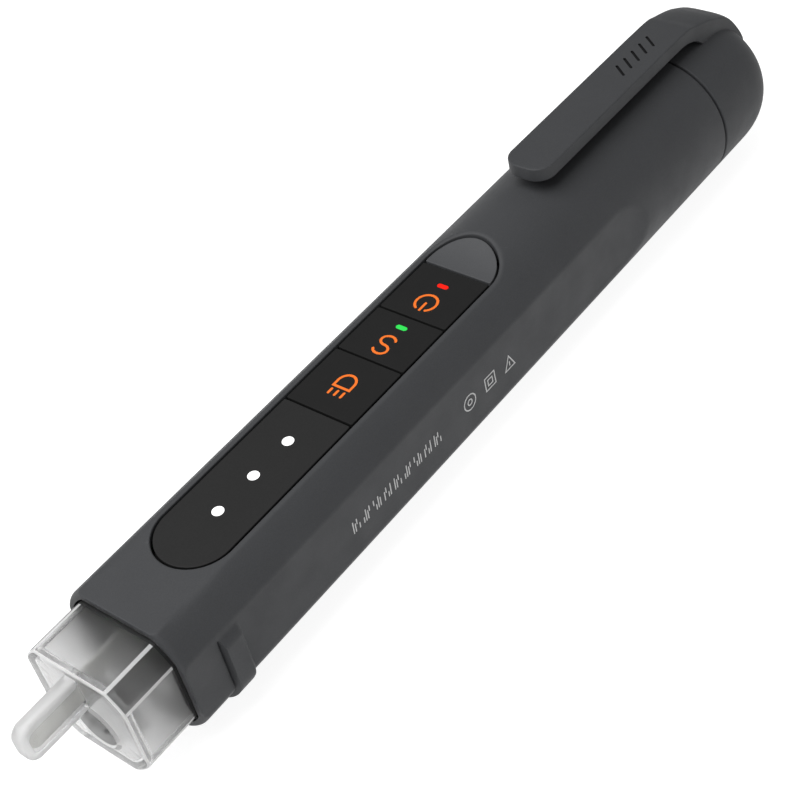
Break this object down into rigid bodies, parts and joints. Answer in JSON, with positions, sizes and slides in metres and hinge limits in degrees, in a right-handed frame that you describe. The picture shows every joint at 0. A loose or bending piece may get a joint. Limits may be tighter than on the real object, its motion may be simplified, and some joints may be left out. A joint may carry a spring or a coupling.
{
  "type": "non contact voltage tester",
  "caption": "Pen-shaped non contact voltage tester with a clear probe tip, torch, indicator panel, keys and a pull-off tail cap with pocket clip.",
  "frame": {"origin": "on the surface it rests on, under the middle of the whole object's box", "axes": "+X along the pen from the probe tip to the tail cap, +Z out of the key side, -Y out of the marked side"},
  "size_m": [0.1582, 0.0226, 0.0267],
  "materials": {
    "housing": "fine matte texture, charcoal",
    "thumb_rest": "satin, slightly lighter than the housing",
    "tail_cap": "fine matte texture, charcoal",
    "clear_head": "smoky clear plastic, polished outside",
    "torch_led": "clear epoxy dome",
    "panel": "fine satin",
    "key": "fine matte with printed orange symbols",
    "light_pipe": "milky white, glowing",
    "green_light": "green, glowing",
    "red_light": "red, glowing",
    "contact_metal": "nickel plated strip",
    "spring_steel": "bright wire",
    "board": "green solder mask",
    "chip": "black moulded",
    "switch_metal": "bright stamped cover",
    "small_lamp": "small white lamp body",
    "cell": "printed jacket over a metal can",
    "cradle": "black moulded"
  },
  "bodies": {
    "body": {"housing": "housing", "thumb_rest": "thumb_rest", "clear_head": "clear_head", "torch_led": "torch_led", "indicator_panel": "panel", "light_pipe_1": "light_pipe", "light_pipe_2": "light_pipe", "light_pipe_3": "light_pipe", "sensor_electrode": "contact_metal", "front_contact": "contact_metal", "return_strip": "contact_metal", "circuit_board": "board", "microcontroller": "chip", "buzzer": "chip", "torch_switch": "switch_metal", "sensitivity_switch": "switch_metal", "power_switch": "switch_metal", "indicator_led_1": "small_lamp", "indicator_led_2": "small_lamp", "indicator_led_3": "small_lamp", "sensitivity_led": "small_lamp", "power_led": "small_lamp", "alarm_led": "small_lamp", "cell_front": "cell", "cell_rear": "cell", "cell_cradle": "cradle"},
    "tail_cap_body": {"tail_cap": "tail_cap", "tail_contact": "contact_metal", "tail_spring": "spring_steel"},
    "clip_body": {"pocket_clip": "tail_cap"},
    "torch_key_body": {"torch_key": "key", "torch_plunger": "chip"},
    "sensitivity_key_body": {"sensitivity_key": "key", "sensitivity_light": "green_light", "sensitivity_plunger": "chip"},
    "power_key_body": {"power_key": "key", "power_light": "red_light", "power_plunger": "chip"}
  },
  "joints": [
    {"name": "torch_key_press", "type": "slide", "parent": "body", "child": "torch_key_body", "axis": [0, 0, -1], "range_m": [0, 0.0004], "stiffness_N_per_m": 1000, "springref_m": -0.0008},
    {"name": "sensitivity_key_press", "type": "slide", "parent": "body", "child": "sensitivity_key_body", "axis": [0, 0, -1], "range_m": [0, 0.0004], "stiffness_N_per_m": 1000, "springref_m": -0.0008},
    {"name": "power_key_press", "type": "slide", "parent": "body", "child": "power_key_body", "axis": [0, 0, -1], "range_m": [0, 0.0004], "stiffness_N_per_m": 1000, "springref_m": -0.0008},
    {"name": "tail_cap_pull", "type": "slide", "parent": "body", "child": "tail_cap_body", "axis": [1, 0, 0], "range_m": [0, 0.045]},
    {"name": "clip_flex", "type": "hinge", "parent": "tail_cap_body", "child": "clip_body", "pos_m": [0.06395, 0, 0.0255], "axis": [0, 1, 0], "range_deg": [0, 4.5], "stiffness_Nm_per_rad": 4}
  ]
}
